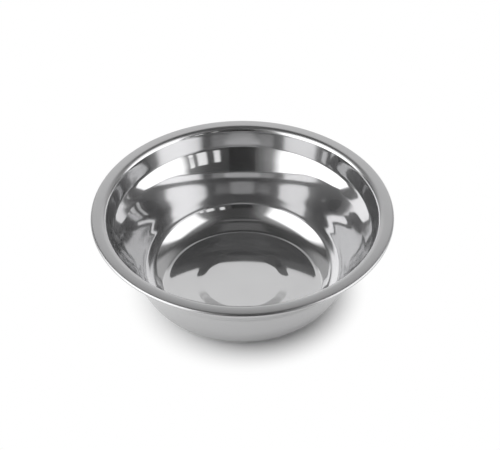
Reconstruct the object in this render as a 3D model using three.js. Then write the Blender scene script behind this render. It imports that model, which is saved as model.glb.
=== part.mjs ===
// Metal pet bowl: one round sheet of stainless steel, deep-drawn into a bowl with a flat rim.
// Millimetres, +Z up. The origin is the centre of the base, on the surface that the bowl stands on.
import * as THREE from 'three';

// Overall sizes
const rimDiameter = 200;
const bowlHeight = 65;
const sheetThickness = 0.5;

// Rim: a flat flange with its outer edge folded down and back under itself as a hem
const mouthDiameter = 181.2; // where the flange and the collar would meet without the bend
const mouthBendRadius = 4;
const hemGap = 0.8; // left open inside the fold
const hemReturn = 2.6; // straight run of the edge under the flange

// Wall: a steep collar under the rim, a narrow band that slopes more, then a wall that waves in and out
// a little. Heights are of each stretch, from the rim down, and leans are degrees from upright.
const creaseDiameter = 173.5; // where the collar meets the band
const collarHeight = 14.2;
const creaseBendRadius = 9;
const bandHeight = 8.5;
const bandLean = 31;
const bandBendRadius = 10;
const shoulderHeight = 8.5;
const shoulderLean = 26;
const waistBendRun = 15; // length of the sheet that eases from one lean to the next
const wallHeight = 13.8;
const wallLean = 21.2;
const bellyBendRadius = 80;
const bellyLean = 25; // from the wall's foot to the round corner
const cornerRadius = 24; // between the belly and the toe
const toeRun = 2.8; // straight between the corner and the bend that meets the floor
const toeLift = 25; // degrees from level
const toeBendRadius = 11;

// Floor: a flat ring that the bowl stands on, round a raised centre disc
const bevelDiameter = 65;
const bevelFootRadius = 1.5;
const discDiameter = 53;
const discEdgeRadius = 1.2;
const discRise = 0.45;

// Facets
const segmentsAround = 72;
const chordTolerance = 0.04; // farthest that a flat facet may stray from its arc

// Finish
const steelColour = 0xc6c7c8;
const steelRoughness = 0.12;
const steelMetalness = 1;

const centre = new THREE.Vector2();

function leftOf(direction) {
  return new THREE.Vector2(-direction.y, direction.x);
}

// An arc that leaves a point along a heading and turns left by an angle, or right if it is negative.
// Each step along it is a point on the sheet's inner face with the normal that faces into the bowl.
function arcFrom(start, heading, radius, turn) {
  const normal = leftOf(heading);
  const pivot = start.clone().addScaledVector(normal, Math.sign(turn) * radius);
  const widestFacet = 2 * Math.acos(1 - chordTolerance / radius);
  const facets = Math.ceil(Math.abs(turn) / widestFacet);
  return Array.from({ length: facets + 1 }, (_, step) => {
    const angle = (turn * step) / facets;
    return {
      point: start.clone().rotateAround(pivot, angle),
      normal: normal.clone().rotateAround(centre, angle),
    };
  });
}

// The corner between two straight runs, rounded by a radius.
function roundedCorner(before, corner, after, radius) {
  const arriving = corner.clone().sub(before).normalize();
  const leaving = after.clone().sub(corner).normalize();
  const turn = Math.atan2(arriving.cross(leaving), arriving.dot(leaving));
  const setback = radius * Math.tan(Math.abs(turn) / 2);
  const start = corner.clone().addScaledVector(arriving, -setback);
  return arcFrom(start, arriving, radius, turn);
}

// The foot of a straight stretch of the wall, from its top.
function downWall(top, lean, height) {
  const inward = height * Math.tan(THREE.MathUtils.degToRad(lean));
  return new THREE.Vector2(top.x - inward, top.y - height);
}

// The inner face in section, from the axis over the disc and the floor, up the wall to the rim.
function innerFacePath() {
  const floorLevel = sheetThickness;
  const discLevel = floorLevel + discRise;
  const crease = new THREE.Vector2(creaseDiameter / 2, bowlHeight - collarHeight);
  const bandFoot = downWall(crease, bandLean, bandHeight);
  const waist = downWall(bandFoot, shoulderLean, shoulderHeight);
  const wallFoot = downWall(waist, wallLean, wallHeight);
  const lift = THREE.MathUtils.degToRad(toeLift);
  const cornerTurn = THREE.MathUtils.degToRad(90 - bellyLean - toeLift);
  const liftedRun =
    toeBendRadius * Math.tan(lift / 2) + toeRun + cornerRadius * Math.tan(cornerTurn / 2);
  const climb = liftedRun * Math.sin(lift);
  const bellyFoot = downWall(wallFoot, bellyLean, wallFoot.y - floorLevel - climb);
  const toe = new THREE.Vector2(bellyFoot.x - liftedRun * Math.cos(lift), floorLevel);
  const waistBendRadius = waistBendRun / THREE.MathUtils.degToRad(shoulderLean - wallLean);
  const foldRadius = sheetThickness + hemGap / 2;
  const foldStart = new THREE.Vector2(rimDiameter / 2 - foldRadius, bowlHeight);
  const discCentre = new THREE.Vector2(0, discLevel);
  const corners = [
    { at: discCentre },
    { at: new THREE.Vector2(discDiameter / 2, discLevel), radius: discEdgeRadius },
    { at: new THREE.Vector2(bevelDiameter / 2, floorLevel), radius: bevelFootRadius },
    { at: toe, radius: toeBendRadius },
    { at: bellyFoot, radius: cornerRadius },
    { at: wallFoot, radius: bellyBendRadius },
    { at: waist, radius: waistBendRadius },
    { at: bandFoot, radius: bandBendRadius },
    { at: crease, radius: creaseBendRadius },
    { at: new THREE.Vector2(mouthDiameter / 2, bowlHeight), radius: mouthBendRadius },
    { at: foldStart },
  ];
  const bends = corners.slice(1, -1).flatMap((corner, index) =>
    roundedCorner(corners[index].at, corner.at, corners[index + 2].at, corner.radius),
  );
  const outward = new THREE.Vector2(1, 0);
  const fold = arcFrom(foldStart, outward, foldRadius, -Math.PI);
  const foldEnd = fold[fold.length - 1];
  const hemEdge = {
    point: foldEnd.point.clone().addScaledVector(outward, -hemReturn),
    normal: foldEnd.normal,
  };
  return [{ point: discCentre, normal: leftOf(outward) }, ...bends, ...fold, hemEdge];
}

// The sheet in section: the outer face out to the hem's edge, then the inner face back to the axis.
function sheetSection() {
  const path = innerFacePath();
  const innerFace = path.map(({ point }) => point);
  const outerFace = path.map(({ point, normal }) =>
    point.clone().addScaledVector(normal, -sheetThickness),
  );
  return [...outerFace, ...innerFace.reverse()];
}

function makeBowl() {
  const geometry = new THREE.LatheGeometry(sheetSection(), segmentsAround);
  geometry.rotateX(Math.PI / 2);
  const steel = new THREE.MeshStandardMaterial({
    color: steelColour,
    roughness: steelRoughness,
    metalness: steelMetalness,
  });
  const bowl = new THREE.Mesh(geometry, steel);
  bowl.name = 'bowl_pressing';
  return bowl;
}

const petBowl = new THREE.Group();
petBowl.name = 'pet_bowl';
petBowl.add(makeBowl());

export default petBowl;
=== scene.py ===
import math

import bpy
import numpy as np
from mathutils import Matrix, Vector


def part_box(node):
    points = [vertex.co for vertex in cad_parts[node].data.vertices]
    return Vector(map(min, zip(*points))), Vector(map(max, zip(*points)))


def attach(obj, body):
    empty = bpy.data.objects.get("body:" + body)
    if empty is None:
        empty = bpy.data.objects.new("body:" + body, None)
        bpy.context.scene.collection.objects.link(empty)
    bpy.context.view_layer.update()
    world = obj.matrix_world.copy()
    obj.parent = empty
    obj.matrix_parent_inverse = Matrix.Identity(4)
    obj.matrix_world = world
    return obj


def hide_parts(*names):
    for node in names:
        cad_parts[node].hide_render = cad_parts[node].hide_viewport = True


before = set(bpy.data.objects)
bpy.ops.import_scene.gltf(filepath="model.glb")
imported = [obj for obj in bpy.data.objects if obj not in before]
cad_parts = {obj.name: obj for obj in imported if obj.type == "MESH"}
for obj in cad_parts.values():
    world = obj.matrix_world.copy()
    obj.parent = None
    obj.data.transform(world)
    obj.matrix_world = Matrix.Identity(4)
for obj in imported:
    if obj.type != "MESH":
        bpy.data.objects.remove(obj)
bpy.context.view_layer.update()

scene = bpy.context.scene
scene.view_settings.view_transform = "Standard"

# Camera, fitted to the outline of the rim in the photograph
photoCamera = {
    "distance": 1.0,          # from the middle of the rim, metres
    "elevation": 39.9,        # degrees above the horizon
    "aimRight": 0.0050,       # the frame's middle, beside the middle of the rim
    "aimDown": 0.0099,        # and below it, measured square to the view
    "lens": 109.08,           # mm on a sensor 36 mm wide
}


def addCamera(spec, rimCentre):
    lift = math.radians(spec["elevation"])
    back = Vector((0, -math.cos(lift), math.sin(lift)))
    viewUp = Vector((0, math.sin(lift), math.cos(lift)))
    place = rimCentre + back * spec["distance"]
    aim = rimCentre + Vector((spec["aimRight"], 0, 0)) - viewUp * spec["aimDown"]
    lensData = bpy.data.cameras.new("photoCamera")
    lensData.lens = spec["lens"]
    camera = bpy.data.objects.new("photoCamera", lensData)
    scene.collection.objects.link(camera)
    camera.location = place
    camera.rotation_euler = (aim - place).to_track_quat("-Z", "Y").to_euler()
    scene.camera = camera
    print("camera placed")


# Adds a node: plain values are set on its sockets, and another node's socket is linked
def addNode(tree, kind, inputs=None, **settings):
    node = tree.nodes.new(kind)
    for name, value in settings.items():
        setattr(node, name, value)
    for name, value in (inputs or {}).items():
        if isinstance(value, bpy.types.NodeSocket):
            tree.links.new(value, node.inputs[name])
        else:
            node.inputs[name].default_value = value
    return node


def newMaterial(name):
    material = bpy.data.materials.new(name)
    material.use_nodes = True
    material.node_tree.nodes.clear()
    return material, material.node_tree


# Pressed bowl: section sizes in metres, and how finely its surface is cut
pressedBowl = {
    "sheet": 0.0005,          # thickness of the steel
    "mouthRadius": 0.0906,    # where flange and collar would meet without the bend
    "mouthBend": 0.004,
    "droop": 0.0002,          # fall of the flange from its crest to its outer edge
    "crest": 0.15,            # where the flange is highest, as a share of its width
    "hemRoll": 0.0014,        # radius that the flange's edge rolls down by
    "hemRollTurn": 75.0,      # degrees, before it tucks under
    "hemTuck": 0.0006,        # radius of the tuck
    "hemReturn": 0.0026,      # straight run of the edge under the flange
    "collarHeight": 0.0142,   # heights of the wall's stretches, from the rim down
    "creaseRadius": 0.08675,  # where the collar meets the band
    "creaseBend": 0.009,
    "bandHeight": 0.0085,
    "bandLean": 31.0,         # leans in degrees from upright
    "bandBend": 0.010,
    "shoulderHeight": 0.0085,
    "shoulderLean": 26.0,
    "waistBend": 0.179,
    "wallHeight": 0.0138,
    "wallLean": 21.2,
    "bellyBend": 0.080,
    "bellyLean": 25.0,
    "cornerBend": 0.024,      # round corner between wall and floor
    "toeLift": 25.0,          # degrees that the floor turns up by before the corner
    "toeBend": 0.011,
    "toeRun": 0.0028,         # straight between that bend and the corner
    "bevelRadius": 0.0325,    # foot of the raised disc
    "bevelBend": 0.0015,
    "discRadius": 0.0265,
    "discBend": 0.0012,
    "discRise": 0.00045,
    "around": 288,            # facets in a full turn
    "runStep": 0.0016,        # longest facet on a straight run
    "flangeStep": 0.0005,     # and on the flange, which droops in a curve
    "arcStep": 0.0012,        # longest facet on a bend
    "arcTurn": 6.0,           # most degrees between facets on a bend
}


def turnLeft(direction):
    return np.array([-direction[1], direction[0]])


# A straight run: start + (end - start) * t, with one normal, on the left of the heading
def straightRun(start, end, step):
    reach = np.linalg.norm(end - start)
    t = np.linspace(0, 1, int(np.ceil(reach / step)) + 1)[:, None]
    normal = turnLeft((end - start) / reach)
    return start + (end - start) * t, np.repeat(normal[None], len(t), 0)


# A bend: the left normal turns by t * turn, and the point stays one radius from the pivot
def bendRun(start, heading, radius, turn, spec):
    normal = turnLeft(heading)
    pivot = start + normal * np.sign(turn) * radius
    facets = max(abs(turn) * radius / spec["arcStep"], abs(turn) / math.radians(spec["arcTurn"]))
    angle = np.linspace(0, turn, int(np.ceil(facets)) + 1)
    cosine, sine = np.cos(angle), np.sin(angle)
    normals = np.stack(
        [normal[0] * cosine - normal[1] * sine, normal[0] * sine + normal[1] * cosine], 1
    )
    return pivot - normals * np.sign(turn) * radius, normals


# The foot of a straight stretch of the wall, in from its top by height * tan(lean)
def downWall(top, lean, height):
    return top - np.array([height * math.tan(math.radians(lean)), height])


# The inner face in section, (radius, height) from the axis over disc and floor, up the wall to the hem.
# A corner of a given radius is cut back on both runs by radius * tan(turn / 2).
def innerFace(spec, rimRadius, height):
    floorLevel = spec["sheet"]
    discLevel = floorLevel + spec["discRise"]
    rollTurn = math.radians(spec["hemRollTurn"])
    hemReach = spec["hemTuck"] + (spec["hemRoll"] - spec["hemTuck"]) * math.sin(rollTurn)
    crease = np.array([spec["creaseRadius"], height - spec["collarHeight"]])
    bandFoot = downWall(crease, spec["bandLean"], spec["bandHeight"])
    waist = downWall(bandFoot, spec["shoulderLean"], spec["shoulderHeight"])
    wallFoot = downWall(waist, spec["wallLean"], spec["wallHeight"])

    # The toe: its lifted run is as long as the two bends' cut-backs and the straight between them
    lift = math.radians(spec["toeLift"])
    cornerTurn = math.radians(90 - spec["bellyLean"] - spec["toeLift"])
    lifted = spec["toeBend"] * math.tan(lift / 2) + spec["toeRun"]
    lifted += spec["cornerBend"] * math.tan(cornerTurn / 2)
    climb = lifted * math.sin(lift)
    cornerFoot = downWall(wallFoot, spec["bellyLean"], wallFoot[1] - floorLevel - climb)
    toe = cornerFoot - np.array([lifted * math.cos(lift), climb])
    corners = np.array([
        [0, discLevel],
        [spec["discRadius"], discLevel],
        [spec["bevelRadius"], floorLevel],
        toe,
        cornerFoot,
        wallFoot,
        waist,
        bandFoot,
        crease,
        [spec["mouthRadius"], height],
        [rimRadius - hemReach, height],
    ])
    bendNames = ("disc", "bevel", "toe", "corner", "belly", "waist", "band", "crease", "mouth")
    bends = [spec[name + "Bend"] for name in bendNames]
    runs = []
    here = corners[0]
    for before, corner, after, radius in zip(corners, corners[1:], corners[2:], bends):
        arriving = (corner - before) / np.linalg.norm(corner - before)
        leaving = (after - corner) / np.linalg.norm(after - corner)
        turn = math.atan2(
            arriving[0] * leaving[1] - arriving[1] * leaving[0], float(arriving @ leaving)
        )
        bendStart = corner - arriving * radius * math.tan(abs(turn) / 2)
        runs += [
            straightRun(here, bendStart, spec["runStep"]),
            bendRun(bendStart, arriving, radius, turn, spec),
        ]
        here = runs[-1][0][-1]
    outward = np.array([1.0, 0.0])
    flange = straightRun(here, corners[-1], spec["flangeStep"])
    roll = bendRun(corners[-1], outward, spec["hemRoll"], -rollTurn, spec)
    downward = -turnLeft(roll[1][-1])
    tuck = bendRun(roll[0][-1], downward, spec["hemTuck"], rollTurn - math.pi, spec)
    hemEnd = tuck[0][-1] - outward * spec["hemReturn"]
    runs += [flange, roll, tuck, straightRun(tuck[0][-1], hemEnd, spec["runStep"])]
    firsts = [slice(0, None)] + [slice(1, None)] * (len(runs) - 1)
    points = np.concatenate([run[0][part] for run, part in zip(runs, firsts)])
    normals = np.concatenate([run[1][part] for run, part in zip(runs, firsts)])

    # The flange falls by droop * ((share of its width - crest) / (1 - crest)) ^ 2, the same on both faces
    across = np.maximum((points[:, 0] - here[0]) / (corners[-1][0] - here[0]), spec["crest"])
    points[:, 1] -= spec["droop"] * ((across - spec["crest"]) / (1 - spec["crest"])) ** 2
    return points, normals


# The whole sheet in section: outer face to the hem, a half-round cut edge, inner face back to the axis
def sheetSection(spec, rimRadius, height):
    inner, normals = innerFace(spec, rimRadius, height)
    outer = inner - normals * spec["sheet"]
    edge, _ = bendRun(outer[-1], turnLeft(normals[-1]), spec["sheet"] / 2, math.pi, spec)
    section = np.concatenate([outer, edge[1:-1], inner[::-1]])
    run = np.concatenate([[0], np.cumsum(np.linalg.norm(np.diff(inner, axis=0), axis=1))])
    alongSheet = np.concatenate([run, np.full(len(edge) - 2, run[-1]), run[::-1]])
    onInner = np.concatenate([np.zeros(len(outer) + len(edge) - 2), np.ones(len(inner))])
    return section, alongSheet, onInner


# A body of revolution: (r, z) goes to (r cos a, r sin a, z), and the section's two ends are single points
def turnedMesh(name, section, around):
    a = np.arange(around) * 2 * math.pi / around
    ring = section[1:-1]
    grid = np.stack([
        ring[:, :1] * np.cos(a),
        ring[:, :1] * np.sin(a),
        np.repeat(ring[:, 1:], around, 1),
    ], 2)
    bottom = [0, 0, section[0, 1]]
    top = [0, 0, section[-1, 1]]
    points = np.concatenate([[bottom], grid.reshape(-1, 3), [top]])
    ids = 1 + np.arange(len(ring) * around).reshape(len(ring), around)
    onward = np.roll(ids, -1, 1)
    quads = np.stack([ids[:-1], onward[:-1], onward[1:], ids[1:]], 2).reshape(-1, 4)
    first = np.stack([np.zeros(around, int), onward[0], ids[0]], 1)
    last = np.stack([np.full(around, len(points) - 1), ids[-1], onward[-1]], 1)
    mesh = bpy.data.meshes.new(name)
    mesh.from_pydata(points.tolist(), [], quads.tolist() + first.tolist() + last.tolist())
    mesh.polygons.foreach_set("use_smooth", np.ones(len(mesh.polygons), bool))
    mesh.update()
    return mesh


# One value for each section point, repeated round its ring
def ringAttribute(mesh, name, values, around):
    spread = np.concatenate([values[:1], np.repeat(values[1:-1], around), values[-1:]])
    mesh.attributes.new(name, "FLOAT", "POINT").data.foreach_set("value", spread.astype(np.float32))


# Steel: mirror polish inside, satin on the flange and partly satin outside, a darker colour painted on the
# outside and flange as painted shade, rings left by the polishing wheel
polishedSteel = {
    "bright": (0.65, 0.65, 0.655, 1),
    "dull": (0.59, 0.59, 0.595, 1),
    # Painted shade: a darker colour for the outer face, standing in for the shadowed floor that it
    # reflects
    "paintedShade": (0.46, 0.46, 0.465, 1),
    "flangeShadeShare": 0.75,      # of that painted shade on the flange, which darkens it
    "mirror": 0.05,           # roughness inside the bowl
    "satin": 0.28,            # roughness of the flange
    "outerShare": 0.4,        # of the flange's satin on the outer face
    "haze": 0.20,             # share of the light that the polish scatters
    "hazeRoughness": 0.4,
    "smudge": 0.03,           # added where it was handled
    "smudgeScale": 38.0,      # clouds per metre
    "smudgeRange": (0.45, 0.75),  # of the clouds, from clean steel to a full smudge
    "ringScale": 1900.0,      # polishing rings per metre along the sheet
    "ringDrift": 1.3,         # how much a ring changes round the bowl
    "ringDepth": 0.0000012,   # metres
}


def makeSteel(spec):
    material, tree = newMaterial("polishedSteel")
    place = addNode(tree, "ShaderNodeTexCoord").outputs["Object"]
    along = addNode(tree, "ShaderNodeAttribute", attribute_name="alongSheet").outputs["Fac"]
    satin = addNode(tree, "ShaderNodeAttribute", attribute_name="satin").outputs["Fac"]

    # Rings: noise read at (direction from the axis, distance along the sheet)
    flat = addNode(tree, "ShaderNodeVectorMath", {0: place, 1: (1, 1, 0)}, operation="MULTIPLY")
    aim = addNode(tree, "ShaderNodeVectorMath", {0: flat.outputs[0]}, operation="NORMALIZE")
    drift = addNode(
        tree, "ShaderNodeVectorMath", {0: aim.outputs[0], "Scale": spec["ringDrift"]}, operation="SCALE"
    )
    count = addNode(tree, "ShaderNodeMath", {0: along, 1: spec["ringScale"]}, operation="MULTIPLY")
    lift = addNode(tree, "ShaderNodeCombineXYZ", {"Z": count.outputs[0]})
    ringPlace = addNode(tree, "ShaderNodeVectorMath", {0: drift.outputs[0], 1: lift.outputs[0]})
    rings = addNode(
        tree, "ShaderNodeTexNoise", {"Vector": ringPlace.outputs[0], "Scale": 1.0, "Detail": 3.0}
    ).outputs["Fac"]

    # Smudges: soft clouds that dull the polish a little
    clean, full = spec["smudgeRange"]
    clouds = addNode(
        tree, "ShaderNodeTexNoise", {"Vector": place, "Scale": spec["smudgeScale"], "Detail": 4.0}
    ).outputs["Fac"]
    smudge = addNode(
        tree, "ShaderNodeMapRange",
        {"Value": clouds, "From Min": clean, "From Max": full, "To Min": 0.0, "To Max": spec["smudge"]},
        interpolation_type="SMOOTHSTEP",
    ).outputs["Result"]
    base = addNode(
        tree, "ShaderNodeMapRange",
        {"Value": satin, "To Min": spec["mirror"], "To Max": spec["satin"]},
    ).outputs["Result"]
    roughness = addNode(tree, "ShaderNodeMath", {0: base, 1: smudge}, operation="ADD").outputs[0]
    bump = addNode(
        tree, "ShaderNodeBump", {"Strength": 1.0, "Distance": spec["ringDepth"], "Height": rings}
    ).outputs["Normal"]

    # Colour: cloudy inside; outside and flange get a plain darker colour, which is painted shade
    cloudy = addNode(
        tree, "ShaderNodeMix", {"Factor": clouds, "A": spec["bright"], "B": spec["dull"]}, data_type="RGBA"
    ).outputs["Result"]
    paintedShade = addNode(tree, "ShaderNodeAttribute", attribute_name="paintedShade").outputs["Fac"]
    tint = addNode(
        tree, "ShaderNodeMix", {"Factor": paintedShade, "A": cloudy, "B": spec["paintedShade"]}, data_type="RGBA"
    ).outputs["Result"]
    mirror = addNode(
        tree, "ShaderNodeBsdfPrincipled",
        {"Base Color": tint, "Metallic": 1.0, "Roughness": roughness, "Normal": bump},
    ).outputs[0]
    scatter = addNode(
        tree, "ShaderNodeBsdfPrincipled",
        {"Base Color": tint, "Metallic": 1.0, "Roughness": spec["hazeRoughness"]},
    ).outputs[0]
    both = addNode(tree, "ShaderNodeMixShader", {0: spec["haze"], 1: mirror, 2: scatter}).outputs[0]
    addNode(tree, "ShaderNodeOutputMaterial", {"Surface": both})
    return material


def makeBowl(spec, finish):
    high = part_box("bowl_pressing")[1]
    section, alongSheet, onInner = sheetSection(spec, high.x, high.z)
    mesh = turnedMesh("pressed_bowl", section, spec["around"])
    onFlange = onInner * (section[:, 0] > spec["mouthRadius"])
    ringAttribute(mesh, "alongSheet", alongSheet, spec["around"])
    satin = np.maximum(onFlange, finish["outerShare"] * (1 - onInner))
    ringAttribute(mesh, "satin", satin, spec["around"])
    # Painted shade: the darker colour is full on the outer face, and a share of it goes on the flange
    paintedShade = np.maximum(finish["flangeShadeShare"] * onFlange, 1 - onInner)
    ringAttribute(mesh, "paintedShade", paintedShade, spec["around"])
    mesh.materials.append(makeSteel(finish))
    piece = bpy.data.objects.new("pressed_bowl", mesh)
    scene.collection.objects.link(piece)
    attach(piece, "root")
    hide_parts("bowl_pressing")
    print("bowl", len(section), "section points,", len(mesh.polygons), "faces")


# Floor: pale and matt, with the object's shadow close by and plain white farther off
paleFloor = {
    "reach": 12.0,            # half its width
    "drop": 0.0002,           # below the base, so that the faces don't share a plane
    "colour": (0.9, 0.9, 0.9, 1),
    "shadowCentre": (0.002, -0.003, 0.0),
    "shadowReach": 0.053,     # lit by the lamps alone up to here
    "whiteFrom": 0.084,       # plain white from here on
}


def addFloor(spec):
    reach = spec["reach"]
    corners = [(-reach, -reach), (reach, -reach), (reach, reach), (-reach, reach)]
    mesh = bpy.data.meshes.new("floor")
    mesh.from_pydata([(x, y, -spec["drop"]) for x, y in corners], [], [(0, 1, 2, 3)])
    material, tree = newMaterial("paleFloor")
    place = addNode(tree, "ShaderNodeTexCoord").outputs["Object"]
    distance = addNode(
        tree, "ShaderNodeVectorMath", {0: place, 1: spec["shadowCentre"]}, operation="DISTANCE"
    ).outputs["Value"]
    far = addNode(
        tree, "ShaderNodeMapRange",
        {"Value": distance, "From Min": spec["shadowReach"], "From Max": spec["whiteFrom"]},
        interpolation_type="SMOOTHSTEP",
    ).outputs["Result"]
    ray = addNode(tree, "ShaderNodeLightPath").outputs
    seen = addNode(
        tree, "ShaderNodeMath", {0: ray["Is Camera Ray"], 1: ray["Is Glossy Ray"]}, operation="MAXIMUM"
    ).outputs[0]
    seen = addNode(
        tree, "ShaderNodeMath", {0: seen, 1: ray["Is Transmission Ray"]}, operation="MAXIMUM"
    ).outputs[0]
    share = addNode(tree, "ShaderNodeMath", {0: far, 1: seen}, operation="MULTIPLY").outputs[0]
    matt = addNode(tree, "ShaderNodeBsdfDiffuse", {"Color": spec["colour"]}).outputs[0]
    white = addNode(tree, "ShaderNodeEmission", {"Strength": 1.0}).outputs[0]
    mixed = addNode(tree, "ShaderNodeMixShader", {0: share, 1: matt, 2: white}).outputs[0]
    addNode(tree, "ShaderNodeOutputMaterial", {"Surface": mixed})
    mesh.materials.append(material)
    floor = bpy.data.objects.new("floor", mesh)
    scene.collection.objects.link(floor)
    print("floor laid")


# Studio lamps: upright cards that stand round the bowl and face its axis. Bearings are degrees from the
# camera's side, to the right. Radiance 1 is white in the frame, and the camera never sees a card itself.
# A card that doesn't light the floor still shows in the steel.
uprightLamps = {
    "leftSoftbox": {
        "bearing": -71, "distance": 0.62, "width": 1.24, "low": 0.05, "high": 1.14,
        "radiance": 1.9, "sideFade": 0.42, "topFade": 0.28,
    },
    "rightSoftbox": {
        "bearing": 80, "distance": 0.62, "width": 0.79, "low": 0.05, "high": 1.10,
        "radiance": 1.6, "sideFade": 0.34, "topFade": 0.26, "lightsFloor": False,
    },
    "backdrop": {
        "bearing": 180, "distance": 1.30, "width": 1.70, "low": 0.0, "high": 1.47,
        "radiance": 0.93, "sideFade": 0.3, "topFade": 0.12,
    },
    "backdropTop": {
        "bearing": 180, "distance": 1.31, "width": 1.50, "low": 1.40, "high": 2.40,
        "radiance": 0.50, "sideFade": 0.5, "topFade": 0.3,
    },
    "leftWing": {
        "bearing": -142, "distance": 1.30, "width": 0.85, "low": 0.0, "high": 2.2,
        "radiance": 0.45, "sideFade": 0.6, "topFade": 0.6,
    },
    "rightWing": {
        "bearing": 140, "distance": 1.30, "width": 0.85, "low": 0.0, "high": 2.2,
        "radiance": 0.55, "sideFade": 0.6, "topFade": 0.6,
    },
    "leftGlow": {
        "bearing": -62, "distance": 0.64, "width": 1.8, "low": 0.0, "high": 2.1,
        "radiance": 0.50, "sideFade": 0.95, "topFade": 0.7,
    },
    "rightGlow": {
        "bearing": 80, "distance": 0.64, "width": 1.5, "low": 0.0, "high": 1.9,
        "radiance": 0.38, "sideFade": 0.9, "topFade": 0.7,
    },
    "nearPane": {
        "bearing": 22.5, "distance": 0.9, "width": 0.12, "low": 0.40, "high": 0.63,
        "radiance": 1.3, "sideFade": 0.6, "topFade": 0.3,
    },
    "middlePane": {
        "bearing": 36, "distance": 0.9, "width": 0.18, "low": 0.34, "high": 0.54,
        "radiance": 1.3, "sideFade": 0.5, "topFade": 0.3,
    },
    "farPane": {
        "bearing": 45.5, "distance": 0.9, "width": 0.09, "low": 0.29, "high": 0.45,
        "radiance": 1.3, "sideFade": 0.6, "topFade": 0.3,
    },
}
# Dim panels over the bowl, which face down
ceilingLamps = {
    "zenithPanel": {
        "right": 0.0, "back": 0.1, "height": 2.0, "width": 1.0, "depth": 0.9,
        "radiance": 0.09, "sideFade": 0.5,
    },
    "frontBar": {
        "right": 0.0, "back": -0.61, "height": 2.0, "width": 1.3, "depth": 0.22,
        "radiance": 0.14, "sideFade": 0.5,
    },
}
roomGlow = 0.045              # dark room behind the lamps


# Full inside a card, fading smoothly to nothing over a share of its half width
def bothSides(tree, along, share):
    fromSide = addNode(tree, "ShaderNodeMath", {0: along, 1: 0.5}, operation="PINGPONG").outputs[0]
    return addNode(
        tree, "ShaderNodeMapRange", {"Value": fromSide, "From Min": 0.0, "From Max": share / 2},
        interpolation_type="SMOOTHSTEP",
    ).outputs["Result"]


# Full at a card's foot, fading smoothly to nothing over a share of its height
def topOnly(tree, along, share):
    return addNode(
        tree, "ShaderNodeMapRange", {"Value": along, "From Min": 1.0, "From Max": 1.0 - share},
        interpolation_type="SMOOTHSTEP",
    ).outputs["Result"]


def addCard(name, spec, height, place, facing):
    data = bpy.data.lights.new(name, "AREA")
    data.shape = "RECTANGLE"
    data.size, data.size_y = spec["width"], height
    data.energy = spec["radiance"] * math.pi * spec["width"] * height
    data.use_nodes = True
    tree = data.node_tree
    spot = addNode(tree, "ShaderNodeNewGeometry").outputs["Parametric"]
    spot = addNode(tree, "ShaderNodeSeparateXYZ", {0: spot}).outputs
    sides = bothSides(tree, spot["X"], spec["sideFade"])
    if "topFade" in spec:
        ends = topOnly(tree, spot["Y"], spec["topFade"])
    else:
        ends = bothSides(tree, spot["Y"], spec["sideFade"])
    strength = addNode(tree, "ShaderNodeMath", {0: sides, 1: ends}, operation="MULTIPLY").outputs[0]
    tree.links.new(strength, tree.nodes["Emission"].inputs["Strength"])
    lamp = bpy.data.objects.new(name, data)
    scene.collection.objects.link(lamp)
    lamp.location = place
    lamp.rotation_euler = facing.to_track_quat("-Z", "Y").to_euler()
    lamp.visible_camera = False
    lamp.visible_diffuse = spec.get("lightsFloor", True)


def addLamps():
    for name, spec in uprightLamps.items():
        bearing = math.radians(spec["bearing"])
        outward = Vector((math.sin(bearing), -math.cos(bearing), 0))
        lift = Vector((0, 0, (spec["low"] + spec["high"]) / 2))
        addCard(name, spec, spec["high"] - spec["low"], outward * spec["distance"] + lift, -outward)
    for name, spec in ceilingLamps.items():
        place = Vector((spec["right"], spec["back"], spec["height"]))
        addCard(name, spec, spec["depth"], place, Vector((0, 0, -1)))
    room = bpy.data.worlds.new("studioRoom")
    room.use_nodes = True
    room.node_tree.nodes["Background"].inputs["Color"].default_value = (roomGlow, roomGlow, roomGlow, 1)
    scene.world = room
    print("lamps", len(uprightLamps) + len(ceilingLamps))


# The dark camera stand, which only the steel's reflections show
cameraStand = {
    "distance": 1.2,          # from the bowl's axis, behind the camera
    "width": 0.50,
    "low": 0.16,
    "high": 0.80,
    "colour": (0.004, 0.004, 0.004, 1),
}


def addCameraStand(spec):
    half = spec["width"] / 2
    corners = [(-half, spec["low"]), (half, spec["low"]), (half, spec["high"]), (-half, spec["high"])]
    mesh = bpy.data.meshes.new("cameraStand")
    mesh.from_pydata([(x, -spec["distance"], z) for x, z in corners], [], [(3, 2, 1, 0)])
    material, tree = newMaterial("darkStand")
    matt = addNode(tree, "ShaderNodeBsdfDiffuse", {"Color": spec["colour"]}).outputs[0]
    addNode(tree, "ShaderNodeOutputMaterial", {"Surface": matt})
    mesh.materials.append(material)
    stand = bpy.data.objects.new("cameraStand", mesh)
    scene.collection.objects.link(stand)
    stand.visible_camera = False
    print("camera stand placed")


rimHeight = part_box("bowl_pressing")[1].z
addCamera(photoCamera, Vector((0, 0, rimHeight)))
makeBowl(pressedBowl, polishedSteel)
addFloor(paleFloor)
addLamps()
addCameraStand(cameraStand)
